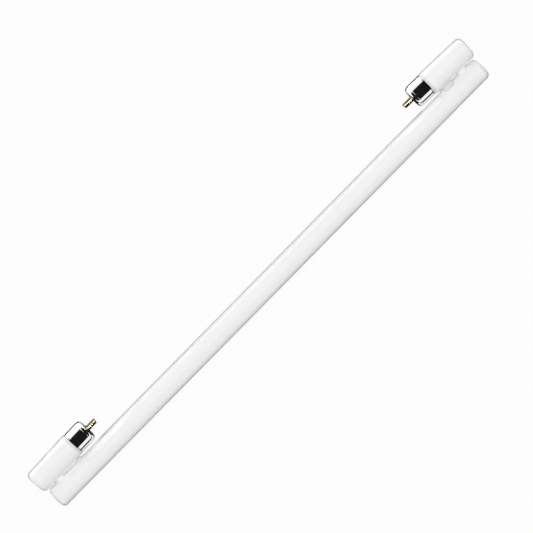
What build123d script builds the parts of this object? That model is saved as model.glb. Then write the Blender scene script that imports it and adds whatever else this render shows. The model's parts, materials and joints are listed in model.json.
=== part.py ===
from build123d import *
import os
from math import cos, radians, sin, tan

# Slim fluorescent lamp with side electrodes: a long main tube, closed at both ends, and beside each
# end a short side tube that is fused to it by a glass bridge and carries a two-pin metal cap.
# The caps face each other, so that lamps can stand end to end with no dark gap.
# Frame: +X along the main tube, +Y towards the side tubes, +Z up, floor at Z = 0.
# Sizes are in millimetres, angles in degrees.

# Main tube
main_d = 15.5
main_length = 390.8
end_dome = 0.5              # how far a closed glass end bulges
end_corner_r = 2.4          # rounding between a closed end and the barrel

# Side tubes, a little wider at the cap than at the closed end
side_d = 16.2               # at the closed end
mouth_d = 16.9              # at the cap
side_length = 36.0          # closed end to cap rim
side_overhang = 2.15        # closed end beyond the end of the main tube
side_splay = 1.5            # the cap end leans away from the main tube
tube_gap = 1.3              # clear gap between the barrels at the bridge
neck_draw_length = 1.3      # stretch where the mouth is drawn in to the neck under the cap

# Fused glass bridges
bridge_d = 7.2
bridge_inset = 11.4         # bridge axis from the end of the main tube
main_flare_r = 0.35         # rounding where a bridge runs out into the main tube
side_flare_r = 0.75         # rounding where it runs out into the side tube
main_flare_share = 0.3      # most of the gap that each rounding may take, so that the two never meet
side_flare_share = 0.6
radius_tolerance = 0.001    # picks the bridges' own faces out of the fused glass

# Cap shell, drawn from thin aluminium
cap_inset = 0.4             # cap barrel inside the mouth of the glass, all round
cap_length = 13.0
cap_wall = 0.3
shoulder_r = 2.3            # outer rounding between barrel and end face
shoulder_length = 3.0       # end face back to the small step in the barrel
shoulder_step = 0.15        # depth of that step

# Insulating disc behind the end face, with a boss that fills the opening in it
disc_t = 3.2
disc_clearance = 0.05
opening_margin = 0.7        # boss edge outside the pin flanges

# Hollow brass pins, staked through the disc and dented onto their lead wires
pin_d = 2.36
pin_pitch = 4.75
pin_length = 7.3            # end face to pin tip
pin_wall = 0.42
pin_tip_bevel = 0.4
pin_tip_wall = 0.5
pin_crimp_length = 3.2      # stretch where the bore is squeezed onto the lead wire
dent_inset = 2.4            # pin tip to the middle of the dents
dent_length = 1.2
dent_depth = 0.14
flange_width = 0.7          # stands out all round the pin
flange_t = 0.5

# Inside the cap: cement ring, drawn-in glass neck, sealed exhaust stub and lead wires
cement_t = 0.5
cement_recess = 0.4         # cement set back from the cap rim
wiring_space = 2.65         # glass neck to insulating disc
neck_bevel = 1.2
stub_d = 2.4
stub_point = 0.9            # nipped-off point of the stub
stub_clearance = 0.35       # stub tip to the flanges behind the disc
lead_d = 0.5

# Dabs of sealant that steady the side tubes against the main tube
dab_offset = 2.9            # cap rim to the near end of a dab
dab_bevel = 0.8             # slope of a dab's ends
left_dab_length = 4.0
left_dab_width = 6.8
left_dab_height = 6.4
left_dab_lift = 0.4         # middle of the dab above the tube axes
right_dab_length = 10.3
right_dab_width = 10.0
right_dab_height = 9.2
right_dab_lift = 1.0

# Places worked out from the sizes above
main_r = main_d / 2
side_r = side_d / 2
mouth_r = mouth_d / 2
main_end_x = main_length / 2
bridge_x = main_end_x - bridge_inset
bridge_z = (main_r + mouth_r) / 2
closed_end_x = -(bridge_inset + side_overhang)
side_slope = (mouth_r - side_r) / (side_length - neck_draw_length)
side_axis_y = main_r + tube_gap + side_r - side_slope * closed_end_x

# Stations along a side tube, measured from its bridge towards the cap
rim_x = closed_end_x + side_length
face_x = rim_x + cap_length
face_inner_x = face_x - cap_wall
disc_back_x = face_inner_x - disc_t
neck_end_x = disc_back_x - wiring_space
stub_tip_x = disc_back_x - flange_t - stub_clearance
pin_tip_x = face_x + pin_length

# Radii shared by the pieces of a cap
cap_r = mouth_r - cap_inset
cap_inner_r = cap_r - cap_wall
shoulder_outer_r = cap_r - shoulder_step
shoulder_inner_r = shoulder_outer_r - cap_wall
neck_r = cap_inner_r - cement_t
pin_r = pin_d / 2
flange_r = pin_r + flange_width
opening_r = pin_pitch / 2 + flange_r + opening_margin
lead_r = lead_d / 2
stub_r = stub_d / 2


def half_section(*edges):
    return make_face(Curve() + list(edges))


def dome(x_end, inward, radius):
    # Shallow bulge of a closed glass end, from the axis out to the barrel
    return TangentArc((x_end, 0), (x_end + inward * end_dome, radius), tangent=(0, 1))


def round_corner(section, corner):
    # Soft rounding between a closed end and its barrel
    return fillet(section.vertices().sort_by_distance(corner)[0], end_corner_r)


def main_tube():
    left_end = dome(-main_end_x, 1, main_r)
    right_end = dome(main_end_x, -1, main_r)
    barrel = Line(left_end @ 1, right_end @ 1)
    axis = Line(left_end @ 0, right_end @ 0)
    section = half_section(left_end, barrel, right_end, axis)
    for end in (left_end, right_end):
        section = round_corner(section, end @ 1)
    return Pos(0, 0, main_r) * revolve(section, Axis.X)


def side_tube():
    # Closed at the far end, drawn in to a neck under the cap, with the pointed exhaust stub at the tip
    end = dome(closed_end_x, 1, side_r)
    barrel = Line(end @ 1, (rim_x - neck_draw_length, mouth_r))
    draw_in = TangentArc(barrel @ 1, (rim_x, neck_r), tangent=barrel % 1)
    neck = Polyline(draw_in @ 1, (neck_end_x - neck_bevel, neck_r), (neck_end_x, neck_r - neck_bevel),
                    (neck_end_x, stub_r), (stub_tip_x - stub_point, stub_r), (stub_tip_x, 0))
    axis = Line(neck @ 1, end @ 0)
    section = half_section(end, barrel, draw_in, neck, axis)
    return revolve(round_corner(section, end @ 1), Axis.X)


def cap_shell():
    # One wall from the rim over a small step and the rounded shoulder to the open end face
    step_x = face_x - shoulder_length
    arc_x = face_x - shoulder_r
    arc_y = shoulder_outer_r - shoulder_r
    outer_arc = CenterArc((arc_x, arc_y), shoulder_r, 0, 90)
    inner_arc = CenterArc((arc_x, arc_y), shoulder_r - cap_wall, 0, 90)
    outside = Polyline((rim_x, cap_inner_r), (rim_x, cap_r), (step_x, cap_r),
                       (step_x + shoulder_step, shoulder_outer_r), outer_arc @ 1)
    end_face = Polyline(outer_arc @ 0, (face_x, opening_r), (face_inner_x, opening_r), inner_arc @ 0)
    inside = Polyline(inner_arc @ 0, inner_arc @ 0.5, inner_arc @ 1, (step_x, shoulder_inner_r),
                      (step_x - shoulder_step, cap_inner_r), (rim_x, cap_inner_r))
    return revolve(half_section(outside, outer_arc, end_face, inside), Axis.X)


def cap_insulator():
    # Nests in the shoulder of the shell with a bevelled edge, and its boss is flush in the end face
    disc_r = shoulder_inner_r - disc_clearance
    boss_r = opening_r - disc_clearance
    bevel = shoulder_r - cap_wall
    outline = Polyline((face_x, 0), (face_x, boss_r), (face_inner_x, boss_r), (face_inner_x, disc_r - bevel),
                       (face_inner_x - bevel, disc_r), (disc_back_x, disc_r), (disc_back_x, 0), close=True)
    disc = revolve(half_section(outline), Axis.X)
    for side in (1, -1):
        pin_hole = Cylinder(pin_r, 2 * (disc_t + cap_wall), rotation=(0, 90, 0))
        disc -= Pos(face_x, 0, side * pin_pitch / 2) * pin_hole
    return disc


def cap_cement():
    length = disc_back_x - rim_x - cement_recess
    middle_x = disc_back_x - length / 2
    section = Pos(middle_x, neck_r + cement_t / 2) * Rectangle(length, cement_t)
    return revolve(section, Axis.X)


def cap_pin():
    # Flanges on both faces of the disc clamp the pin; two dents squeeze its bore onto the lead wire
    bore_r = pin_r - pin_wall
    tail_x = disc_back_x - flange_t
    flange_x = face_x + flange_t
    lead_end_x = pin_tip_x - pin_tip_wall
    crimp_x = lead_end_x - pin_crimp_length
    outline = Polyline((pin_tip_x, 0), (lead_end_x, 0), (lead_end_x, lead_r), (crimp_x, lead_r),
                       (crimp_x, bore_r), (tail_x, bore_r), (tail_x, flange_r), (disc_back_x, flange_r),
                       (disc_back_x, pin_r), (face_x, pin_r), (face_x, flange_r), (flange_x, flange_r),
                       (flange_x, pin_r), (pin_tip_x - pin_tip_bevel, pin_r),
                       (pin_tip_x, pin_r - pin_tip_bevel), close=True)
    pin = revolve(half_section(outline), Axis.X)
    dent_r = (dent_length ** 2 / 4 + dent_depth ** 2) / (2 * dent_depth)
    dent = Cylinder(dent_r, 2 * pin_d, rotation=(90, 0, 0))
    for side in (1, -1):
        pin -= Pos(pin_tip_x - dent_inset, 0, side * (pin_r - dent_depth + dent_r)) * dent
    return pin


def lead_wire():
    length = pin_tip_x - pin_tip_wall - neck_end_x
    return Pos(neck_end_x + length / 2, 0, 0) * Cylinder(lead_r, length, rotation=(0, 90, 0))


def glass_bridge(hand):
    # Runs from the axis of the main tube to the axis of the side tube
    bridge = Cylinder(bridge_d / 2, side_axis_y, rotation=(90, 0, 0))
    return Pos(hand * bridge_x, side_axis_y / 2, bridge_z) * bridge


def flared(glass, radius, on_side_tube):
    # Rounds the rings where the bridges run out into the main tube or into the side tubes
    walls = glass.faces().filter_by(GeomType.CYLINDER)
    bridges = walls.filter_by(lambda face: abs(face.radius - bridge_d / 2) < radius_tolerance)
    middle_y = main_r + tube_gap / 2
    rings = bridges.edges().filter_by(lambda edge: (edge.center().Y > middle_y) == on_side_tube)
    return fillet(rings.filter_by(GeomType.LINE, reverse=True), radius)


def glass_tube(hands):
    # Main tube, side tubes and bridges melt into one body, with soft flares round the bridges
    glass = main_tube()
    for hand in hands:
        glass += seat(hand) * side_tube()
        glass += glass_bridge(hand)
    glass = flared(glass, min(main_flare_r, main_flare_share * tube_gap), False)
    return flared(glass, min(side_flare_r, side_flare_share * tube_gap), True)


def support_dab(hand, length, width, height, lift, glass):
    # A bead of sealant pressed into the valley between the barrels
    along = rim_x - dab_offset - length / 2
    x = hand * (bridge_x - along * cos(radians(side_splay)))
    gap = tube_gap + along * (tan(radians(side_splay)) - side_slope)
    section = Plane((x, main_r + gap / 2, bridge_z + lift), x_dir=(0, 1, 0), z_dir=(1, 0, 0))
    bead = extrude(section * Ellipse(width / 2, height / 2), length / 2, both=True)
    bead = chamfer(bead.edges().filter_by(GeomType.ELLIPSE), dab_bevel)
    return bead - glass


def seat(hand):
    # Local X runs along a side tube from its bridge towards the cap; hand is 1 at the right, -1 at the left
    splay = radians(side_splay)
    towards_cap = (-hand * cos(splay), sin(splay), 0)
    return Plane((hand * bridge_x, side_axis_y, mouth_r), x_dir=towards_cap, z_dir=(0, 0, 1)).location


def lamp():
    hands = {"left": -1, "right": 1}
    glass = glass_tube(hands.values())
    pieces = {"glass_tube": glass}
    for end, hand in hands.items():
        pieces[f"{end}_cap_shell"] = seat(hand) * cap_shell()
        pieces[f"{end}_cap_insulator"] = seat(hand) * cap_insulator()
        pieces[f"{end}_cap_cement"] = seat(hand) * cap_cement()
        for level, side in (("upper", 1), ("lower", -1)):
            row = seat(hand) * Pos(0, 0, side * pin_pitch / 2)
            pieces[f"{end}_{level}_pin"] = row * cap_pin()
            pieces[f"{end}_{level}_lead"] = row * lead_wire()
    pieces["left_support_dab"] = support_dab(
        hands["left"], left_dab_length, left_dab_width, left_dab_height, left_dab_lift, glass)
    pieces["right_support_dab"] = support_dab(
        hands["right"], right_dab_length, right_dab_width, right_dab_height, right_dab_lift, glass)
    return pieces


def centred(pieces):
    # Puts the origin at the middle of the lamp's footprint, on the floor
    box = Compound(children=[piece.moved(Location()) for piece in pieces.values()]).bounding_box()
    shift = Pos(-box.center().X, -box.center().Y, -box.min.Z)
    return {name: shift * piece for name, piece in pieces.items()}


def main():
    os.makedirs("parts", exist_ok=True)
    for name, piece in centred(lamp()).items():
        export_step(piece, f"parts/{name}.step")


main()
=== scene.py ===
import json
import math

import bmesh
import bpy
from mathutils import Matrix, Vector, noise


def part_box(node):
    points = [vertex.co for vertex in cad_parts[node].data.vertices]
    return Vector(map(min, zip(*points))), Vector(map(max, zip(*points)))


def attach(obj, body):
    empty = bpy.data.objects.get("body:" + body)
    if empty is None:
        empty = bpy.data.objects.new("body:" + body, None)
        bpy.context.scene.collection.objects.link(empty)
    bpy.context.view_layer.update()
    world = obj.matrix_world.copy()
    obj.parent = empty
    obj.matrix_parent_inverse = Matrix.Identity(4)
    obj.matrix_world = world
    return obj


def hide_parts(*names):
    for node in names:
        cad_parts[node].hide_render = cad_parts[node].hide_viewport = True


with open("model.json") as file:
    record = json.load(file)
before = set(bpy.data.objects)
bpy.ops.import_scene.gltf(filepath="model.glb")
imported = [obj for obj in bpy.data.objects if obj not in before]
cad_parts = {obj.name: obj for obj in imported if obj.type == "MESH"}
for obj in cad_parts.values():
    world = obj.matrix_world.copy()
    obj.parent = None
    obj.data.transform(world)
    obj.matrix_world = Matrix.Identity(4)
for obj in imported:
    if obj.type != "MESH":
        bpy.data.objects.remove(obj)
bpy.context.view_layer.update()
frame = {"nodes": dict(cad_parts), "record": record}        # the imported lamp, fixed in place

mm = 0.001
ends = ("left", "right")
hands = {"left": -1, "right": 1}     # which way an end lies along X
levels = ("upper", "lower")
print("frame loaded,", len(frame["nodes"]), "nodes")


# Where the caps are: the pins' mounts give the axis of each side tube and the end face of its cap

pinSet = {
    "radius": 1.18 * mm,
    "length": 7.3 * mm,
    "tipRound": 0.4 * mm,
    "flangeRadius": 1.88 * mm,
    "flangeThickness": 0.5 * mm,
    "edgeRound": 0.12 * mm,
    "tail": 3.5 * mm,            # end face back to the inner flange
    "bore": 0.76 * mm,
    "crimp": 3.6 * mm,           # where the bore narrows onto the lead wire
    "crimpBore": 0.25 * mm,
    "crimpEnd": 6.8 * mm,
    "dentMiddle": 4.9 * mm,
    "dentLength": 1.2 * mm,
    "dentDepth": 0.14 * mm,
    "dentRings": 10,
    "steps": 48,
    "roundSegments": 5,
}
mounts = {mount["name"]: mount for mount in frame["record"]["mounts"]}


def capPlace(end):
    # origin in the middle of the cap's end face, X out along the pins, Z up
    upper, lower = (mounts[f"{end}_{level}_pin"] for level in levels)
    along = Vector(upper["axis"])
    middle = (Vector(upper["pos_m"]) + Vector(lower["pos_m"])) / 2
    straight = upper["dims"]["length_mm"] * mm
    face = middle - (pinSet["flangeThickness"] + straight / 2) * along
    up = Vector((0, 0, 1))
    return Matrix.Translation(face) @ Matrix((along, up.cross(along), up)).transposed().to_4x4()


places = {end: capPlace(end) for end in ends}
mainRadius = 7.75 * mm
tubeGap = 1.3 * mm                   # between the barrels at a bridge
tubeLow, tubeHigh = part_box("glass_tube")
mainAxis = Vector((0.0, tubeLow.y + mainRadius, mainRadius))
gapMiddle = mainAxis.y + mainRadius + tubeGap / 2


# Finishes: small helpers first

def newFinish(name, constants):
    material = bpy.data.materials.new(name)
    material.use_nodes = True
    shader = material.node_tree.nodes["Principled BSDF"]
    for socket, value in constants.items():
        shader.inputs[socket].default_value = value
    return material, material.node_tree, shader


def objectPlace(tree, stretch=(1, 1, 1)):
    place = tree.nodes.new("ShaderNodeTexCoord")
    mapping = tree.nodes.new("ShaderNodeMapping")
    mapping.inputs["Scale"].default_value = stretch
    tree.links.new(place.outputs["Object"], mapping.inputs["Vector"])
    return mapping.outputs["Vector"]


def station(tree):
    # where a point lies along its cap, from the end face outwards
    attribute = tree.nodes.new("ShaderNodeAttribute")
    attribute.attribute_name = "station"
    return attribute.outputs["Fac"]


def cloud(tree, vector, scale, detail=3.0):
    texture = tree.nodes.new("ShaderNodeTexNoise")
    texture.inputs["Scale"].default_value = scale
    texture.inputs["Detail"].default_value = detail
    tree.links.new(vector, texture.inputs["Vector"])
    return texture.outputs["Fac"]


def turningLines(tree, scale):
    texture = tree.nodes.new("ShaderNodeTexNoise")
    texture.noise_dimensions = "1D"
    texture.inputs["Scale"].default_value = scale
    tree.links.new(station(tree), texture.inputs["W"])
    return texture.outputs["Fac"]


def ranged(tree, value, fromLow, fromHigh, toLow, toHigh, smooth=False):
    spread = tree.nodes.new("ShaderNodeMapRange")
    if smooth:
        spread.interpolation_type = "SMOOTHSTEP"
    tree.links.new(value, spread.inputs["Value"])
    limits = {"From Min": fromLow, "From Max": fromHigh, "To Min": toLow, "To Max": toHigh}
    for socket, number in limits.items():
        spread.inputs[socket].default_value = number
    return spread.outputs["Result"]


def combined(tree, operation, first, second=0.0):
    sums = tree.nodes.new("ShaderNodeMath")
    sums.operation = operation
    for socket, value in zip(sums.inputs, (first, second)):
        if isinstance(value, (int, float)):
            socket.default_value = value
        else:
            tree.links.new(value, socket)
    return sums.outputs[0]


def blended(tree, factor, first, second):
    mix = tree.nodes.new("ShaderNodeMix")
    mix.data_type = "RGBA"
    tree.links.new(factor, mix.inputs["Factor"])
    for socket, colour in ((mix.inputs[6], first), (mix.inputs[7], second)):
        if isinstance(colour, tuple):
            socket.default_value = colour
        else:
            tree.links.new(colour, socket)
    return mix.outputs[2]


def bumped(tree, height, strength, distance):
    bump = tree.nodes.new("ShaderNodeBump")
    bump.inputs["Strength"].default_value = strength
    bump.inputs["Distance"].default_value = distance
    tree.links.new(height, bump.inputs["Height"])
    return bump.outputs["Normal"]


# The seven finishes

glassFinish = {
    "powder": {"Roughness": 0.6, "Specular IOR Level": 0.2},
    "overGlass": {"Coat Weight": 1.0, "Coat Roughness": 0.04, "Coat IOR": 1.5},
    "bareAndShaded": (0.66, 0.66, 0.67, 1),         # the powder coat runs out close to each cap; the grey there is partly painted shade, for the dim inside seen through the bare glass
    "bareShare": 0.56,
    "bareBack": 13.4 * mm,                 # from the cap's end face, as the next two are
    "coatedBack": 15.8 * mm,
    "lineBack": 14.2 * mm,                 # faint darker line round each side tube, where its drawn-in rounding begins
    "lineHalf": 0.45 * mm,
    "coat": (0.91, 0.91, 0.91, 1),
    "thinCoat": (0.885, 0.887, 0.89, 1),   # where the powder lies thinner
    "patchScale": 45.0,
    "grain": (5000.0, 2.0),                # scale and detail
    "grainShare": 0.25,
    "grainBump": (0.15, 0.02 * mm),        # strength and height, as in the other finishes
    "mottle": (0.35, 0.85),
    "drawn": (60.0, 1.0),
    "drawnStretch": (0.06, 1.0, 1.0),      # faint long waves from the drawing of the tube
    "drawnBump": (0.3, 0.15 * mm),
}


def coatEnd(tree, place):
    # both ends at once: the lamp is mirrored, so the distance along a side tube is read from |x|
    folded = tree.nodes.new("ShaderNodeVectorMath")
    folded.operation = "ABSOLUTE"
    tree.links.new(place, folded.inputs[0])
    along = tree.nodes.new("ShaderNodeVectorMath")
    along.operation = "DOT_PRODUCT"
    outward = places["left"].col[0].to_3d()
    along.inputs[1].default_value = (-outward.x, outward.y, 0.0)
    tree.links.new(folded.outputs["Vector"], along.inputs[0])
    faceAt = outward.dot(places["left"].translation)
    # partly painted shade: the coat does run out here, and the band is greyed as if the dim inside showed
    # through clear glass
    thinning = ranged(tree, along.outputs["Value"], faceAt - glassFinish["coatedBack"],
                      faceAt - glassFinish["bareBack"], 0.0, glassFinish["bareShare"], smooth=True)
    lineAt = faceAt - glassFinish["lineBack"]
    away = combined(tree, "ABSOLUTE", combined(tree, "SUBTRACT", along.outputs["Value"], lineAt))
    line = ranged(tree, away, 0.0, glassFinish["lineHalf"], 1.0, 0.0, smooth=True)
    bareAndShaded = combined(tree, "MAXIMUM", thinning, line)
    parts = tree.nodes.new("ShaderNodeSeparateXYZ")
    tree.links.new(place, parts.inputs[0])
    onSide = combined(tree, "GREATER_THAN", parts.outputs["Y"], gapMiddle)
    return combined(tree, "MULTIPLY", bareAndShaded, onSide)


def makeGlassFinish():
    constants = glassFinish["powder"] | glassFinish["overGlass"]
    material, tree, shader = newFinish("coatedGlass", constants)
    place = objectPlace(tree)
    patches = cloud(tree, place, glassFinish["patchScale"])
    grain = cloud(tree, place, *glassFinish["grain"])
    mottle = combined(tree, "ADD", patches, combined(tree, "MULTIPLY", grain, glassFinish["grainShare"]))
    thin = ranged(tree, mottle, *glassFinish["mottle"], 0.0, 1.0)
    powder = blended(tree, thin, glassFinish["coat"], glassFinish["thinCoat"])
    colour = blended(tree, coatEnd(tree, place), powder, glassFinish["bareAndShaded"])
    tree.links.new(colour, shader.inputs["Base Color"])
    tree.links.new(bumped(tree, grain, *glassFinish["grainBump"]), shader.inputs["Normal"])
    waves = cloud(tree, objectPlace(tree, glassFinish["drawnStretch"]), *glassFinish["drawn"])
    tree.links.new(bumped(tree, waves, *glassFinish["drawnBump"]), shader.inputs["Coat Normal"])
    return material


capFinish = {
    "metal": (0.93, 0.93, 0.94, 1),
    "dull": (0.84, 0.84, 0.87, 1),
    "rim": (0.50, 0.50, 0.52, 1),          # painted shade: a darker band at the rim, for the shadow and dark reflection in the groove where the cap meets the glass
    "rimShadeSpan": (-12.2 * mm, -11.6 * mm),   # from the end face
    "lineScale": 2600.0,                   # fine lines left round the cap by the drawing die
    "lineBump": (0.1, 0.004 * mm),
    "smudgeScale": 170.0,
    "wear": (0.3, 0.7),
    "dulled": (0.45, 0.75),
    "roughness": (0.045, 0.08),
}


def makeCapFinish():
    material, tree, shader = newFinish("polishedCap", {"Metallic": 1.0})
    lines = turningLines(tree, capFinish["lineScale"])
    smudges = cloud(tree, objectPlace(tree), capFinish["smudgeScale"])
    wear = combined(tree, "MULTIPLY", combined(tree, "ADD", lines, smudges), 0.5)   # the mean of both
    spread = ranged(tree, wear, *capFinish["wear"], *capFinish["roughness"])
    tree.links.new(spread, shader.inputs["Roughness"])
    dull = ranged(tree, wear, *capFinish["dulled"], 0.0, 1.0)
    metal = blended(tree, dull, capFinish["metal"], capFinish["dull"])
    # painted shade: darkens the band at the rim, in place of the groove's shadow and dark reflection
    rim = ranged(tree, station(tree), *capFinish["rimShadeSpan"], 1.0, 0.0, smooth=True)
    tree.links.new(blended(tree, rim, metal, capFinish["rim"]), shader.inputs["Base Color"])
    tree.links.new(bumped(tree, lines, *capFinish["lineBump"]), shader.inputs["Normal"])
    return material


resinFinish = {
    "dark": (0.055, 0.032, 0.018, 1),
    "light": (0.13, 0.075, 0.04, 1),
    "grain": (900.0, 4.0),
    "tones": (0.35, 0.7),
    "wear": (0.3, 0.7),
    "roughness": (0.42, 0.62),
    "bump": (0.3, 0.03 * mm),
}


def makeResinFinish():
    material, tree, shader = newFinish("mouldedResin", {})
    grain = cloud(tree, objectPlace(tree), *resinFinish["grain"])
    tone = ranged(tree, grain, *resinFinish["tones"], 0.0, 1.0)
    colour = blended(tree, tone, resinFinish["dark"], resinFinish["light"])
    tree.links.new(colour, shader.inputs["Base Color"])
    spread = ranged(tree, grain, *resinFinish["wear"], *resinFinish["roughness"])
    tree.links.new(spread, shader.inputs["Roughness"])
    tree.links.new(bumped(tree, grain, *resinFinish["bump"]), shader.inputs["Normal"])
    return material


cementFinish = {
    "dark": (0.42, 0.35, 0.26, 1),
    "light": (0.62, 0.55, 0.44, 1),
    "grain": (1400.0, 5.0),
    "tones": (0.3, 0.7),
    "bump": (0.6, 0.06 * mm),
}


def makeCementFinish():
    material, tree, shader = newFinish("capCement", {"Roughness": 0.92})
    grain = cloud(tree, objectPlace(tree), *cementFinish["grain"])
    tone = ranged(tree, grain, *cementFinish["tones"], 0.0, 1.0)
    colour = blended(tree, tone, cementFinish["dark"], cementFinish["light"])
    tree.links.new(colour, shader.inputs["Base Color"])
    tree.links.new(bumped(tree, grain, *cementFinish["bump"]), shader.inputs["Normal"])
    return material


brassFinish = {
    "bright": (0.87, 0.75, 0.52, 1),
    "tarnish": (0.46, 0.33, 0.17, 1),
    "tarnishScale": 420.0,
    "spots": (0.5, 0.75, 0.0, 0.6),        # from and to, as in the next two lines
    "dent": (0.0, 0.75 * mm, 0.75, 0.0),   # darker in the dent and at the root
    "root": (0.0, 1.3 * mm, 0.55, 0.0),
    "scratchStretch": (0.05, 1.0, 1.0),    # rubbed along the pin by lampholder contacts
    "scratches": (2500.0, 2.0),
    "wear": (0.3, 0.7),
    "roughness": (0.20, 0.34),
    "bump": (0.15, 0.01 * mm),
}


def makeBrassFinish():
    material, tree, shader = newFinish("pinBrass", {"Metallic": 1.0})
    stain = cloud(tree, objectPlace(tree), brassFinish["tarnishScale"])
    scratches = cloud(tree, objectPlace(tree, brassFinish["scratchStretch"]), *brassFinish["scratches"])
    away = combined(tree, "ABSOLUTE", combined(tree, "SUBTRACT", station(tree), pinSet["dentMiddle"]))
    dent = ranged(tree, away, *brassFinish["dent"], smooth=True)
    root = ranged(tree, station(tree), *brassFinish["root"], smooth=True)
    spots = ranged(tree, stain, *brassFinish["spots"])
    dark = combined(tree, "MAXIMUM", spots, combined(tree, "MAXIMUM", dent, root))
    colour = blended(tree, dark, brassFinish["bright"], brassFinish["tarnish"])
    tree.links.new(colour, shader.inputs["Base Color"])
    spread = ranged(tree, scratches, *brassFinish["wear"], *brassFinish["roughness"])
    tree.links.new(spread, shader.inputs["Roughness"])
    tree.links.new(bumped(tree, scratches, *brassFinish["bump"]), shader.inputs["Normal"])
    return material


wireFinish = {
    "bright": (0.66, 0.64, 0.60, 1),
    "dark": (0.40, 0.38, 0.35, 1),
    "stretch": (0.1, 1.0, 1.0),
    "lines": (6000.0, 2.0),
    "tones": (0.35, 0.7),
    "wear": (0.3, 0.7),
    "roughness": (0.28, 0.45),
}


def makeWireFinish():
    material, tree, shader = newFinish("leadWire", {"Metallic": 1.0})
    lines = cloud(tree, objectPlace(tree, wireFinish["stretch"]), *wireFinish["lines"])
    tone = ranged(tree, lines, *wireFinish["tones"], 0.0, 1.0)
    colour = blended(tree, tone, wireFinish["bright"], wireFinish["dark"])
    tree.links.new(colour, shader.inputs["Base Color"])
    spread = ranged(tree, lines, *wireFinish["wear"], *wireFinish["roughness"])
    tree.links.new(spread, shader.inputs["Roughness"])
    return material


sealantFinish = {
    "milky": (0.74, 0.74, 0.745, 1),
    "dull": (0.66, 0.66, 0.67, 1),
    "streakScale": 380.0,
    "skin": (1500.0, 2.0),
    "tones": (0.35, 0.65),
    "wear": (0.3, 0.7),
    "roughness": (0.32, 0.5),
    "bump": (0.4, 0.08 * mm),
}


def makeSealantFinish():
    material, tree, shader = newFinish("sealant", {"Specular IOR Level": 0.4})
    streaks = cloud(tree, objectPlace(tree), sealantFinish["streakScale"])
    skin = cloud(tree, objectPlace(tree), *sealantFinish["skin"])
    tone = ranged(tree, streaks, *sealantFinish["tones"], 0.0, 1.0)
    colour = blended(tree, tone, sealantFinish["milky"], sealantFinish["dull"])
    tree.links.new(colour, shader.inputs["Base Color"])
    spread = ranged(tree, skin, *sealantFinish["wear"], *sealantFinish["roughness"])
    tree.links.new(spread, shader.inputs["Roughness"])
    ripples = combined(tree, "ADD", streaks, skin)
    tree.links.new(bumped(tree, ripples, *sealantFinish["bump"]), shader.inputs["Normal"])
    return material


finishes = {
    "coated_glass": makeGlassFinish(),
    "polished_cap": makeCapFinish(),
    "insulator": makeResinFinish(),
    "cement": makeCementFinish(),
    "pin_brass": makeBrassFinish(),
    "lead_wire": makeWireFinish(),
    "sealant": makeSealantFinish(),
}
for subpart in frame["record"]["subparts"]:
    frame["nodes"][subpart["node"]].data.materials[0] = finishes[subpart["material_slot"]]
print("finishes:", ", ".join(finishes))


# Turned pieces: an outline of (along, radius) corners is rounded and spun about the axis

mergeDistance = 0.0005 * mm


def newPiece(name, bm, material, sharpAngle=40.0):
    mesh = bpy.data.meshes.new(name)
    bm.to_mesh(mesh)
    bm.free()
    mesh.shade_smooth()
    mesh.set_sharp_from_angle(angle=math.radians(sharpAngle))
    mesh.materials.append(material)
    piece = bpy.data.objects.new(name, mesh)
    bpy.context.scene.collection.objects.link(piece)
    return piece


def spun(corners, rounds, steps, closed=False, segments=6):
    bm = bmesh.new()
    verts = [bm.verts.new((along, 0, radius)) for along, radius in corners]
    for first, second in zip(verts, verts[1:]):
        bm.edges.new((first, second))
    if closed:
        bm.edges.new((verts[-1], verts[0]))
    for corner, size in rounds.items():
        bmesh.ops.bevel(bm, geom=[verts[corner]], offset=size, offset_type="OFFSET", segments=segments,
                        profile=0.5, affect="VERTICES", material=-1)
    bmesh.ops.spin(bm, geom=bm.verts[:] + bm.edges[:], cent=(0, 0, 0), axis=(1, 0, 0), dvec=(0, 0, 0),
                   angle=2 * math.pi, steps=steps, use_merge=True)
    bmesh.ops.remove_doubles(bm, verts=bm.verts, dist=mergeDistance)
    bmesh.ops.recalc_face_normals(bm, faces=bm.faces)
    marks = bm.verts.layers.float.new("station")
    for vert in bm.verts:
        vert[marks] = vert.co.x
    return bm


def dress(piece, node):
    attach(piece, "root")
    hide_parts(node)


# Glass: three turned tubes, joined by drawn-out bridges that run smoothly into both walls

glassSet = {
    "steps": 128,
    "roundSegments": 12,
    "mainEnd": 195.4 * mm,
    "dome": 0.5 * mm,            # bulge of a closed end
    "endRound": 2.4 * mm,
    "domeRings": (0, 0.2, 0.4, 0.6),
    "longRing": 20 * mm,         # spacing of the rings along the main barrel
    "sideRing": 5 * mm,          # along a side barrel
    "fineRing": 0.6 * mm,        # and beside a bridge
    "fineHalf": 6.6 * mm,
    "neckRadius": 7.25 * mm,     # drawn in under the cap
    "rimBack": 13.0 * mm,        # these are measured back from the cap's end face
    "neckEndBack": 6.15 * mm,
    "stubBack": 5.25 * mm,
    "stubTipBack": 4.35 * mm,
    "closedBack": 49.0 * mm,
    "drawRound": 1.19 * mm,
    "stubRadius": 1.2 * mm,
}
sideTaper = {"radius": 8.45 * mm, "back": 14.3 * mm, "slope": 0.35 / 34.7}
bridgeSet = {
    "fromMiddle": 184.0 * mm,
    "height": 8.1 * mm,
    "radius": 4.0 * mm,
    "mainFlare": 0.35 * mm,
    "sideFlare": 0.85 * mm,
    "stretch": 1.8,              # a flare reaches this much further than it is high
    "arcRows": 6,
    "rowSpacing": 0.1 * mm,      # rows of the plain wall, before it is drawn out
    "steps": 96,
    "halvings": 40,              # to find the side wall
    "settleSteps": 8,            # to find where a flare touches its wall
    "nudge": 0.01 * mm,
    "clear": 0.3 * mm,           # barrel cut back round a flare
    "normalReach": 8 * mm,       # smooth shading is set by hand this far from a bridge
}


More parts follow.
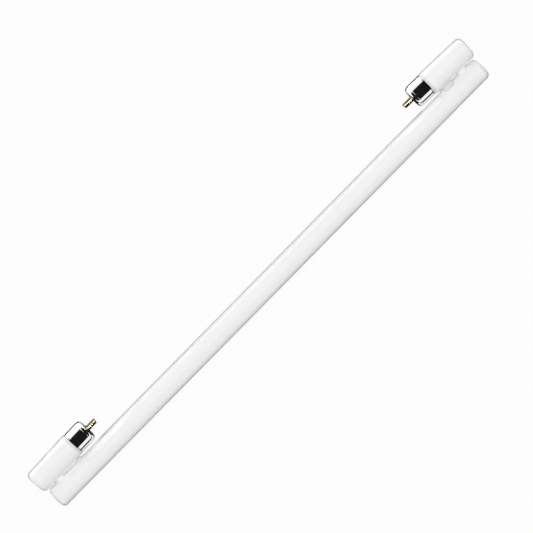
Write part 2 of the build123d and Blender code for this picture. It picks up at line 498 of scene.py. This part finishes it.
def sideRadiusAt(back):
    return sideTaper["radius"] - sideTaper["slope"] * (back - sideTaper["back"])


def closedEnd(at, inward, radius):
    dome = glassSet["dome"]
    rings = [(at + inward * dome * share ** 2, radius * share) for share in glassSet["domeRings"]]
    return rings + [(at + inward * dome, radius)]


def fromBridge(spot):
    # distance from the axis of the nearer bridge
    return math.hypot(abs(spot.x) - bridgeSet["fromMiddle"], spot.z - bridgeSet["height"])


def evenly(low, high, spacing):
    count = max(1, round((high - low) / spacing))
    return [low + (high - low) * ring / count for ring in range(count + 1)]


def joinInto(bm, part):
    carrier = bpy.data.meshes.new("carrier")
    part.to_mesh(carrier)
    part.free()
    bm.from_mesh(carrier)
    bpy.data.meshes.remove(carrier)


def addTurned(bm, corners, rounds, place):
    tube = spun(corners, rounds, glassSet["steps"], segments=glassSet["roundSegments"])
    tube.normal_update()
    facing = tube.verts.layers.float_vector.new("facing")
    for vert in tube.verts:
        vert[facing] = place.to_3x3() @ vert.normal
    bmesh.ops.transform(tube, matrix=place, verts=tube.verts)
    joinInto(bm, tube)


def addMainTube(bm):
    farEnd, half, bridgeAt = glassSet["mainEnd"], glassSet["fineHalf"], bridgeSet["fromMiddle"]
    fine = evenly(bridgeAt - half, bridgeAt + half, glassSet["fineRing"])
    plain = evenly(half - bridgeAt, bridgeAt - half, glassSet["longRing"])[1:-1]
    rings = [-at for at in reversed(fine)] + plain + fine
    corners = closedEnd(-farEnd, 1, mainRadius) + [(at, mainRadius) for at in rings]
    corners += reversed(closedEnd(farEnd, -1, mainRadius))
    edge = len(glassSet["domeRings"])
    rounds = {edge: glassSet["endRound"], len(corners) - 1 - edge: glassSet["endRound"]}
    addTurned(bm, corners, rounds, Matrix.Translation(mainAxis))


def addSideTube(bm, end):
    half, neck, stub = glassSet["fineHalf"], glassSet["neckRadius"], glassSet["stubRadius"]
    rim, neckEnd = -glassSet["rimBack"], -glassSet["neckEndBack"]
    bridgeSpot = places[end].translation.copy()
    bridgeSpot.x = hands[end] * bridgeSet["fromMiddle"]
    bridgeAt = (places[end].inverted() @ bridgeSpot).x
    fine = evenly(bridgeAt - half, bridgeAt + half, glassSet["fineRing"])
    plain = evenly(bridgeAt + half, -sideTaper["back"], glassSet["sideRing"])[1:]
    corners = closedEnd(-glassSet["closedBack"], 1, sideRadiusAt(glassSet["closedBack"]))
    corners += [(at, sideRadiusAt(-at)) for at in fine + plain]
    drawn = len(corners)
    corners += [(rim, sideTaper["radius"]), (rim, neck), (neckEnd, neck), (neckEnd, stub)]
    corners += [(-glassSet["stubBack"], stub), (-glassSet["stubTipBack"], 0)]
    edge = len(glassSet["domeRings"])
    rounds = {edge: glassSet["endRound"], drawn: glassSet["drawRound"], drawn + 2: stub}
    addTurned(bm, corners, rounds, places[end])


def mainWall(end, x, z):
    # where a line along Y leaves the main tube, which is alike at both ends and all along
    return mainAxis.y + math.sqrt(mainRadius ** 2 - (z - mainAxis.z) ** 2)


def sideWall(end, x, z):
    # where a line along Y first meets the side tube, found by halving
    inward = places[end].inverted()
    low, high = mainAxis.y, (places[end] @ Vector((-sideTaper["back"], 0, 0))).y
    for halving in range(bridgeSet["halvings"]):
        middle = (low + high) / 2
        spot = inward @ Vector((x, middle, z))
        if math.hypot(spot.y, spot.z) > sideRadiusAt(-spot.x):
            low = middle
        else:
            high = middle
    return low


def flareArc(end, wall, away, flare, turn):
    # round between bridge and tube wall, at this turn about the bridge's axis: points of (reach, y)
    middle, nudge = hands[end] * bridgeSet["fromMiddle"], bridgeSet["nudge"]

    def wallAt(off):
        reach = bridgeSet["radius"] + bridgeSet["stretch"] * off
        return wall(end, middle + reach * math.cos(turn), bridgeSet["height"] + reach * math.sin(turn))

    touch = flare
    for step in range(bridgeSet["settleSteps"]):
        slope = (wallAt(touch + nudge) - wallAt(touch - nudge)) / (2 * nudge)
        lean = math.sqrt(1 + slope ** 2)
        touch = flare + away * flare * slope / lean
    centre = Vector((flare, wallAt(touch) + away * flare / lean))
    start = (Vector((touch, wallAt(touch))) - centre).normalized()
    rows = bridgeSet["arcRows"]
    arc = [centre + flare * start.slerp(Vector((-1, 0)), row / rows) for row in range(rows + 1)]
    return [Vector((bridgeSet["radius"] + bridgeSet["stretch"] * off, across)) for off, across in arc]


def addBridge(bm, end):
    rows, spacing = bridgeSet["arcRows"], bridgeSet["rowSpacing"]
    count = 2 * rows + 3         # two flares, and a row between them
    wall = spun([(row * spacing, bridgeSet["radius"]) for row in range(count)], {}, bridgeSet["steps"])
    middle = hands[end] * bridgeSet["fromMiddle"]
    columns = {}
    for vert in wall.verts:
        row = round(vert.co.x / spacing)
        turn = round(math.atan2(vert.co.z, vert.co.y), 5)
        if turn not in columns:
            mainArc = flareArc(end, mainWall, 1, bridgeSet["mainFlare"], turn)
            sideArc = flareArc(end, sideWall, -1, bridgeSet["sideFlare"], turn)
            columns[turn] = mainArc + [(mainArc[-1] + sideArc[-1]) / 2] + sideArc[::-1]
        reach, across = columns[turn][row]
        vert.co = (middle + reach * math.cos(turn), across, bridgeSet["height"] + reach * math.sin(turn))
    bmesh.ops.recalc_face_normals(wall, faces=wall.faces)
    wall.normal_update()
    inward = places[end].inverted()
    centre = Vector((middle, gapMiddle, bridgeSet["height"]))
    outwards = sum(vert.normal.dot(vert.co - centre) for vert in wall.verts) > 0
    facing = wall.verts.layers.float_vector.new("facing")
    for vert in wall.verts:
        normal = vert.normal if outwards else -vert.normal
        if vert.is_boundary and vert.co.y < gapMiddle:
            normal = Vector((0, vert.co.y - mainAxis.y, vert.co.z - mainAxis.z)).normalized()
        elif vert.is_boundary:
            spot = inward @ vert.co
            spot.x = -sideTaper["slope"] * math.hypot(spot.y, spot.z)
            normal = (places[end].to_3x3() @ spot).normalized()
        vert[facing] = normal
    joinInto(bm, wall)


def openWalls(bm):
    # cut both tube walls back round each bridge
    reach = bridgeSet["radius"] + bridgeSet["stretch"] * bridgeSet["sideFlare"] + bridgeSet["clear"]
    cut = []
    for vert in bm.verts:
        facingGap = mainAxis.y < vert.co.y < places["left"].translation.y
        if facingGap and fromBridge(vert.co) < reach:
            cut.append(vert)
    bmesh.ops.delete(bm, geom=cut, context="VERTS")


def closeWalls(bm):
    # fill the ring between each wall and its flare
    for hand in hands.values():
        for low, high in ((mainAxis.y, gapMiddle), (gapMiddle, places["left"].translation.y)):
            ring = [edge for edge in bm.edges if edge.is_boundary and hand * edge.verts[0].co.x > 0
                    and low < edge.verts[0].co.y < high]
            bmesh.ops.triangle_fill(bm, use_beauty=True, use_dissolve=False, edges=ring, normal=(0, 1, 0))
    bmesh.ops.recalc_face_normals(bm, faces=bm.faces)


def makeGlass():
    bm = bmesh.new()
    addMainTube(bm)
    for end in ends:
        addSideTube(bm, end)
    openWalls(bm)
    for end in ends:
        addBridge(bm, end)
    closeWalls(bm)
    openEdges = sum(not edge.is_manifold for edge in bm.edges)
    glass = newPiece("glassTube", bm, finishes["coated_glass"])
    mesh = glass.data
    facing = [Vector(value.vector) for value in mesh.attributes["facing"].data]
    for vert in mesh.vertices:
        if fromBridge(vert.co) > bridgeSet["normalReach"]:
            facing[vert.index] = Vector()
    mesh.normals_split_custom_set_from_vertices(facing)
    for name in ("facing", "station"):
        mesh.attributes.remove(mesh.attributes[name])
    dress(glass, "glass_tube")
    print("glass blown,", len(mesh.polygons), "faces,", openEdges, "open edges")


makeGlass()


# Cap shells, drawn from thin sheet

capSet = {
    "length": 13.0 * mm,
    "radius": 8.05 * mm,
    "wall": 0.3 * mm,
    "shoulder": 2.75 * mm,       # end face back to the small step
    "step": 0.2 * mm,
    "stepRound": 0.04 * mm,
    "shoulderRound": 2.3 * mm,
    "opening": 4.955 * mm,
    "edgeRound": 0.09 * mm,
    "steps": 128,
    "roundSegments": 8,
}


def makeCapShell(end):
    radius, wall, step, opening = capSet["radius"], capSet["wall"], capSet["step"], capSet["opening"]
    rim, shoulder = -capSet["length"], -capSet["shoulder"]
    corners = [
        (rim, radius - wall), (rim, radius), (shoulder, radius), (shoulder + step, radius - step),
        (0, radius - step), (0, opening), (-wall, opening), (-wall, radius - step - wall),
        (shoulder, radius - step - wall), (shoulder - step, radius - wall),
    ]
    edge, stepRound, shoulderRound = capSet["edgeRound"], capSet["stepRound"], capSet["shoulderRound"]
    rounds = {0: edge, 1: edge, 2: stepRound, 3: stepRound, 4: shoulderRound,
              5: edge, 6: edge, 7: shoulderRound - wall}
    bm = spun(corners, rounds, capSet["steps"], closed=True, segments=capSet["roundSegments"])
    bmesh.ops.transform(bm, matrix=places[end], verts=bm.verts)
    shell = newPiece(end + "CapShell", bm, finishes["polished_cap"])
    dress(shell, end + "_cap_shell")
    return shell


# Insulating discs, with a boss that fills the opening in the end face

discSet = {
    "bossRadius": 4.905 * mm,
    "radius": 7.55 * mm,
    "bevel": 2.0 * mm,
    "back": 3.5 * mm,
    "edgeRound": 0.12 * mm,
    "steps": 96,
    "roundSegments": 4,
}


def makeInsulator(end):
    wall, radius, bevel, boss = capSet["wall"], discSet["radius"], discSet["bevel"], discSet["bossRadius"]
    corners = [(0, 0), (0, boss), (-wall, boss), (-wall, radius - bevel),
               (-wall - bevel, radius), (-discSet["back"], radius), (-discSet["back"], 0)]
    rounds = {1: discSet["edgeRound"]}
    bm = spun(corners, rounds, discSet["steps"], segments=discSet["roundSegments"])
    bmesh.ops.transform(bm, matrix=places[end], verts=bm.verts)
    disc = newPiece(end + "CapInsulator", bm, finishes["insulator"])
    dress(disc, end + "_cap_insulator")
    return disc


# Hollow brass pins with a flange on each face of the disc, dented onto their lead wires

def makePin(end, level):
    radius, flange, thick = pinSet["radius"], pinSet["flangeRadius"], pinSet["flangeThickness"]
    tip, tail, bore = pinSet["length"], -pinSet["tail"], pinSet["bore"]
    crimp, crimpEnd, crimpBore = pinSet["crimp"], pinSet["crimpEnd"], pinSet["crimpBore"]
    dent, half, rings = pinSet["dentMiddle"], pinSet["dentLength"] / 2, pinSet["dentRings"]
    dentRun = [(dent + half * (2 * ring / rings - 1), radius) for ring in range(rings + 1)]
    corners = [
        (crimpEnd, 0), (crimpEnd, crimpBore), (crimp, crimpBore), (crimp, bore),
        (tail - thick, bore), (tail - thick, flange), (tail, flange), (tail, radius),
        (0, radius), (0, flange), (thick, flange), (thick, radius), *dentRun, (tip, radius), (tip, 0),
    ]
    edge = pinSet["edgeRound"]
    rounds = {9: edge, 10: 2 * edge, 11: edge, len(corners) - 2: pinSet["tipRound"]}
    bm = spun(corners, rounds, pinSet["steps"], segments=pinSet["roundSegments"])
    for vert in bm.verts:
        off = abs(vert.co.x - dent) / half
        if off < 1:
            room = radius - pinSet["dentDepth"] * (1 - off * off)
            vert.co.z = max(-room, min(room, vert.co.z))
    bmesh.ops.transform(bm, matrix=places[end], verts=bm.verts)
    mount = mounts[f"{end}_{level}_pin"]
    lift = mount["pos_m"][2] - places[end].translation.z
    bmesh.ops.translate(bm, vec=(0, 0, lift), verts=bm.verts)
    pin = newPiece(end + level.capitalize() + "Pin", bm, finishes["pin_brass"])
    dress(pin, f"{end}_{level}_pin")
    return pin


capPieces = []
upperPins = []
for end in ends:
    capPieces.append(makeCapShell(end))
    capPieces.append(makeInsulator(end))
    upperPins.append(makePin(end, "upper"))
    capPieces.append(upperPins[-1])
    capPieces.append(makePin(end, "lower"))
print("caps, discs and pins turned")


# Dabs of sealant, hollow fillets along the valley between the tubes

dabSet = {
    "left": {"middleBack": 17.9 * mm, "halfLength": 2.0 * mm, "fillet": 1.6 * mm, "tail": -2.0},
    "right": {"middleBack": 21.05 * mm, "halfLength": 5.15 * mm, "fillet": 2.9 * mm, "tail": -0.52},
    "thickness": 0.05 * mm,      # of the film where it runs out on the glass
    "blunt": 8.0,                # higher keeps a dab full nearer to its ends
    "thin": 0.2,                 # how full the thin tail next to the cap is
    "tailRun": 0.15,             # share of the half length over which a tail thickens
    "lump": 0.12 * mm,
    "lumpScale": 320.0,
    "alongSteps": 36,
    "acrossSteps": 16,
    "sharpAngle": 60.0,
}


def valleyPoint(end, share, sweep, side):
    # a round runs along the valley and touches both tubes; the sealant fills up to it, above and below
    dab = dabSet[end]
    back = dab["middleBack"] + share * dab["halfLength"]
    sideAxis = places[end] @ Vector((-back, 0, 0))
    sideRadius = sideRadiusAt(back)
    mainPoint = Vector((sideAxis.x, mainAxis.y, mainAxis.z))
    across = sideAxis - mainPoint
    reach = across.length
    pastTail = min(1, max(0, (share - dab["tail"]) / dabSet["tailRun"] + 0.5))
    thickened = dabSet["thin"] + (1 - dabSet["thin"]) * pastTail
    full = math.sqrt(1 - abs(share) ** dabSet["blunt"]) * thickened
    least = (reach ** 2 / 4 - mainRadius * sideRadius) / (mainRadius + sideRadius)   # the film closes up
    fillet = least + full * (dab["fillet"] - least)
    mainReach, sideReach = mainRadius + fillet, sideRadius + fillet
    foot = (reach ** 2 + mainReach ** 2 - sideReach ** 2) / (2 * reach)
    rise = math.sqrt(mainReach ** 2 - foot ** 2)
    across.normalize()
    upward = Vector((1, 0, 0)).cross(across) * side
    centre = mainPoint + foot * across + rise * upward
    towardsMain = (mainPoint - centre).normalized()
    towardsSide = (sideAxis - centre).normalized()
    swing = towardsMain.slerp(towardsSide, (sweep + 1) / 2)
    return centre + (fillet - dabSet["thickness"]) * swing


def makeDab(end):
    bm = bmesh.new()
    along, across = dabSet["alongSteps"], dabSet["acrossSteps"]
    for side in (1, -1):
        sheet = bmesh.ops.create_grid(bm, x_segments=along, y_segments=across, size=1.0)
        for vert in sheet["verts"]:
            vert.co = valleyPoint(end, vert.co.x, vert.co.y, side)
            vert.co.z += dabSet["lump"] * noise.noise(vert.co * dabSet["lumpScale"])
    bmesh.ops.bridge_loops(bm, edges=[edge for edge in bm.edges if edge.is_boundary])
    bmesh.ops.recalc_face_normals(bm, faces=bm.faces)
    dab = newPiece(end + "SupportDab", bm, finishes["sealant"], dabSet["sharpAngle"])
    dress(dab, end + "_support_dab")


for end in ends:
    makeDab(end)
print("dabs of sealant set")


# Stage: white to the eye, with dark and bright cards that only polished metal and glass mirror

stageSet = {
    "floorSize": 12.0,
    "floorColour": (0.6, 0.6, 0.6, 1),
    "floorWhite": 0.95,          # share of plain white on the floor, the rest is floor with its shadow
    "ambient": 0.06,
    "flagColour": (0.02, 0.02, 0.02, 1),
    "cardHeight": 0.3,           # black card over the lamp
    "cardAcross": 0.84,
    "cardAlong": 1.7,
    "cardLean": math.radians(4.2),
    "shadeLift": 0.1 * mm,       # cards lie this far above the floor
    "frontMargin": 6.5 * mm,     # dark floor that metal and glass mirror close to the lamp
    "faceMargin": 3 * mm,
    "backMargin": 60 * mm,
    "endMargin": 40 * mm,
    "horizonDistance": 1.6,      # low dark strip beyond the main tube
    "horizonHeight": 0.36,
    "horizonLength": 6.0,
    "reflectorNear": 26 * mm,    # bright card on the floor beside the side tubes
    "reflectorFar": 0.5,
    "reflectorLength": 3.0,
    "reflectorGlow": 2.2,
}
capCardSet = {                   # the cards that stand round each cap
    "line": {"y": -2 * mm, "low": 14.0 * mm, "high": 15.2 * mm},               # thin dark strip over the gap
    "pins": {1: (6 * mm, 8 * mm), -1: (4 * mm, 16 * mm)},                      # beside the pins: offset, top
    "pinLength": 12 * mm,
    "face": {"away": 30 * mm, "width": 34 * mm, "high": 7 * mm, "shift": 0},   # dark card that the cap faces
    "root": {"away": 10 * mm, "width": 8 * mm, "high": 19 * mm, "shift": -0.6 * mm},   # past the pins
    "bright": {"y": -2.05 * mm, "low": 10.8 * mm, "high": 15.2 * mm},          # bright strip over the gap
    "brightPast": 20 * mm,       # how far it runs on past the end face
    "brightGlow": 2.0,
}
upwards = Vector((0, 0, 1))
sideways = Vector((0, 1, 0))     # from the main tube to the side tubes


def addStagePlane(name, lengthX, lengthY, material):
    bm = bmesh.new()
    bmesh.ops.create_grid(bm, x_segments=1, y_segments=1, size=0.5)
    bmesh.ops.scale(bm, vec=(lengthX, lengthY, 1), verts=bm.verts)
    mesh = bpy.data.meshes.new(name)
    bm.to_mesh(mesh)
    bm.free()
    mesh.materials.append(material)
    plane = bpy.data.objects.new(name, mesh)
    bpy.context.scene.collection.objects.link(plane)
    return plane


def litWhiteRays(nodes, links):
    # 1 for what the eye, metal and glass see, 0 for light that falls on surfaces
    path = nodes.new("ShaderNodeLightPath")
    glossy = nodes.new("ShaderNodeMath")
    glossy.operation = "MAXIMUM"
    seen = nodes.new("ShaderNodeMath")
    seen.operation = "MAXIMUM"
    links.new(path.outputs["Is Glossy Ray"], glossy.inputs[0])
    links.new(path.outputs["Is Transmission Ray"], glossy.inputs[1])
    links.new(path.outputs["Is Camera Ray"], seen.inputs[0])
    links.new(glossy.outputs[0], seen.inputs[1])
    return seen.outputs[0]


def makeFloor():
    material = bpy.data.materials.new("paleFloor")
    material.use_nodes = True
    nodes, links = material.node_tree.nodes, material.node_tree.links
    nodes.clear()
    output = nodes.new("ShaderNodeOutputMaterial")
    diffuse = nodes.new("ShaderNodeBsdfDiffuse")
    diffuse.inputs["Color"].default_value = stageSet["floorColour"]
    glow = nodes.new("ShaderNodeEmission")
    share = nodes.new("ShaderNodeMath")
    share.operation = "MULTIPLY"
    share.inputs[1].default_value = stageSet["floorWhite"]
    links.new(litWhiteRays(nodes, links), share.inputs[0])
    blend = nodes.new("ShaderNodeMixShader")
    links.new(share.outputs[0], blend.inputs["Fac"])
    links.new(diffuse.outputs[0], blend.inputs[1])
    links.new(glow.outputs[0], blend.inputs[2])
    links.new(blend.outputs[0], output.inputs["Surface"])
    addStagePlane("floor", stageSet["floorSize"], stageSet["floorSize"], material)


def makeFlagBlack():
    material = bpy.data.materials.new("flagBlack")
    material.use_nodes = True
    shader = material.node_tree.nodes["Principled BSDF"]
    shader.inputs["Base Color"].default_value = stageSet["flagColour"]
    shader.inputs["Roughness"].default_value = 1.0
    shader.inputs["Specular IOR Level"].default_value = 0.0
    return material


def addFlag(name, lengthX, lengthY, place, facing, material):
    flag = addStagePlane(name, lengthX, lengthY, material)
    turn = upwards.rotation_difference(facing).to_matrix().to_4x4()
    flag.matrix_world = Matrix.Translation(place) @ turn
    for ray in ("camera", "diffuse", "transmission", "volume_scatter", "shadow"):
        setattr(flag, "visible_" + ray, False)


def addFloorShade(name, lowX, highX, lowY, highY, material):
    middle = Vector(((lowX + highX) / 2, (lowY + highY) / 2, stageSet["shadeLift"]))
    addFlag(name, highX - lowX, highY - lowY, middle, upwards, material)


def addGapStrip(name, lowX, highX, strip, facing, material):
    middle = Vector(((lowX + highX) / 2, strip["y"], (strip["low"] + strip["high"]) / 2))
    addFlag(name, abs(highX - lowX), strip["high"] - strip["low"], middle, facing, material)


def addFacedCard(name, end, card, material):
    # a card on the floor that the end face of a cap looks at
    middle = places[end] @ Vector((card["away"], 0, 0))
    middle = Vector((middle.x, middle.y + card["shift"], card["high"] / 2))
    addFlag(name, card["high"], card["width"], middle, -places[end].col[0].to_3d(), material)


def makeGlow(name, strength):
    glow = bpy.data.materials.new(name)
    glow.use_nodes = True
    shader = glow.node_tree.nodes["Principled BSDF"]
    shader.inputs["Emission Color"].default_value = (1, 1, 1, 1)
    shader.inputs["Emission Strength"].default_value = strength
    return glow


def makeOneSided(glow):
    # clear from behind
    tree = glow.node_tree
    geometry = tree.nodes.new("ShaderNodeNewGeometry")
    clear = tree.nodes.new("ShaderNodeBsdfTransparent")
    either = tree.nodes.new("ShaderNodeMixShader")
    tree.links.new(geometry.outputs["Backfacing"], either.inputs[0])
    tree.links.new(tree.nodes["Principled BSDF"].outputs[0], either.inputs[1])
    tree.links.new(clear.outputs[0], either.inputs[2])
    tree.links.new(either.outputs[0], tree.nodes["Material Output"].inputs["Surface"])


def addCapCards(end, black, gapGlow):
    low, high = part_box(end + "_cap_shell")
    rim, face, outer = high.x, low.x, tubeHigh.x + stageSet["endMargin"]
    if end == "left":
        rim, face, outer = low.x, high.x, tubeLow.x - stageSet["endMargin"]
    inner = face - hands[end] * stageSet["faceMargin"]
    addFloorShade(end + "SideShade", min(outer, inner), max(outer, inner),
                  (low.y + high.y) / 2, high.y + stageSet["frontMargin"], black)
    addGapStrip(end + "LineFlag", low.x, high.x, capCardSet["line"], sideways, black)
    middle = places[end] @ Vector((capCardSet["pinLength"] / 2, 0, 0))
    for side, (offset, top) in capCardSet["pins"].items():
        addFlag(f"{end}PinFlag{side}", capCardSet["pinLength"], top,
                Vector((middle.x, middle.y + side * offset, top / 2)), -side * sideways, black)
    addFacedCard(end + "FaceFlag", end, capCardSet["face"], black)
    addFacedCard(end + "RootFlag", end, capCardSet["root"], black)
    past = face - hands[end] * capCardSet["brightPast"]
    addGapStrip(end + "GapGlow", past, rim, capCardSet["bright"], -sideways, gapGlow)


def makeFlags(back):
    black = makeFlagBlack()
    gapGlow = makeGlow("gapGlow", capCardSet["brightGlow"])
    makeOneSided(gapGlow)
    lean = Matrix.Rotation(stageSet["cardLean"], 3, "X") @ back
    addFlag("overheadCard", stageSet["cardAlong"], stageSet["cardAcross"],
            mainAxis + stageSet["cardHeight"] * lean, lean, black)
    front, rear, past = stageSet["frontMargin"], stageSet["backMargin"], stageSet["endMargin"]
    faces = [places[end].translation.x for end in ends]
    addFloorShade("mainBackShade", tubeLow.x - past, tubeHigh.x + past, tubeLow.y - rear, mainAxis.y, black)
    addFloorShade("mainFrontShade", faces[0], faces[1], mainAxis.y, mainAxis.y + mainRadius + front, black)
    for end in ends:
        addCapCards(end, black, gapGlow)
    glow = makeGlow("reflectorGlow", stageSet["reflectorGlow"])
    reach = stageSet["reflectorLength"] / 2
    addFloorShade("floorReflector", -reach, reach, stageSet["reflectorNear"], stageSet["reflectorFar"], glow)
    horizon = Vector((0, -stageSet["horizonDistance"], stageSet["horizonHeight"] / 2))
    addFlag("horizonStrip", stageSet["horizonLength"], stageSet["horizonHeight"], horizon, sideways, black)


def makeWorld():
    world = bpy.data.worlds.new("studio")
    bpy.context.scene.world = world
    world.use_nodes = True
    nodes, links = world.node_tree.nodes, world.node_tree.links
    background = nodes["Background"]
    background.inputs["Color"].default_value = (1, 1, 1, 1)
    level = nodes.new("ShaderNodeMapRange")
    level.inputs["To Min"].default_value = stageSet["ambient"]
    level.inputs["To Max"].default_value = 1.0
    links.new(litWhiteRays(nodes, links), level.inputs["Value"])
    links.new(level.outputs[0], background.inputs["Strength"])


# Lights

softboxes = {                    # places are from the main tube's middle
    "keySoftbox": {"place": (0, 0.529, 1.188), "size": (2.6, 0.8), "power": 21.5},
    "backSoftbox": {"place": (0, -0.996, 0.836), "size": (2.6, 0.9), "power": 8.4},
    "lowSoftbox": {"place": (0, 1.280, 0.226), "size": (2.6, 0.5), "power": 4.0},
}
pinSoftbox = {"place": (0.0, 0.9, 0.9), "size": (1.2, 2.2), "power": 8.3}


def makeShadowless():
    # mirror metal would light the tube beside it, so it casts no shadow there instead
    pieces = bpy.data.collections.new("shadowless")
    for piece in capPieces:
        pieces.objects.link(piece)
    for entry in pieces.collection_objects:
        entry.light_linking.link_state = "EXCLUDE"
    return pieces


def addSoftbox(name, place, box):
    light = bpy.data.lights.new(name, "AREA")
    light.shape = "RECTANGLE"
    light.size, light.size_y = box["size"]
    light.energy = box["power"]
    lamp = bpy.data.objects.new(name, light)
    lamp.location = place
    lamp.rotation_euler = (mainAxis - place).to_track_quat("-Z", "Y").to_euler()
    lamp.visible_camera = False
    bpy.context.scene.collection.objects.link(lamp)
    return lamp


def addMainLights():
    shadowless = makeShadowless()
    for name, box in softboxes.items():
        lamp = addSoftbox(name, mainAxis + Vector(box["place"]), box)
        lamp.visible_glossy = False      # the cards make the highlights
        lamp.light_linking.blocker_collection = shadowless


def addPinLight():
    # satin brass catches a soft light from the side, which the mirror of the caps would show as a patch
    lamp = addSoftbox("pinSoftbox", Vector(pinSoftbox["place"]), pinSoftbox)
    lamp.data.cycles.use_multiple_importance_sampling = False
    brassOnly = bpy.data.collections.new("brassOnly")
    for pin in upperPins:
        brassOnly.objects.link(pin)
    lamp.light_linking.receiver_collection = brassOnly


# Camera

cameraSet = {
    "distance": 2.1,
    "tilt": math.radians(15),          # leans over towards the side tubes
    "roll": math.radians(45.447),      # the lamp lies across the picture
    "frameWidth": 0.3430,              # what the picture spans at the lamp
    "aimAlong": 6.24 * mm,
    "aimAcross": 8.47 * mm,
    "sensor": 36.0,
    "clipEnd": 50.0,
}


def makeCamera():
    tilt, roll = cameraSet["tilt"], cameraSet["roll"]
    along = Vector((1, 0, 0))
    across = Vector((0, math.cos(tilt), -math.sin(tilt)))
    back = Vector((0, math.sin(tilt), math.cos(tilt)))
    right = math.cos(roll) * along - math.sin(roll) * across
    up = math.sin(roll) * along + math.cos(roll) * across
    aim = mainAxis + cameraSet["aimAlong"] * along + cameraSet["aimAcross"] * across
    data = bpy.data.cameras.new("camera")
    data.sensor_width = cameraSet["sensor"]
    data.lens = cameraSet["sensor"] * cameraSet["distance"] / cameraSet["frameWidth"]
    data.clip_end = cameraSet["clipEnd"]
    camera = bpy.data.objects.new("camera", data)
    turn = Matrix((right, up, back)).transposed().to_4x4()
    camera.matrix_world = Matrix.Translation(aim + cameraSet["distance"] * back) @ turn
    bpy.context.scene.collection.objects.link(camera)
    bpy.context.scene.camera = camera
    return back


cameraBack = makeCamera()
makeFloor()
makeFlags(cameraBack)
makeWorld()
addMainLights()
addPinLight()
bpy.context.scene.view_settings.view_transform = "Standard"
print("stage, lights and camera set")
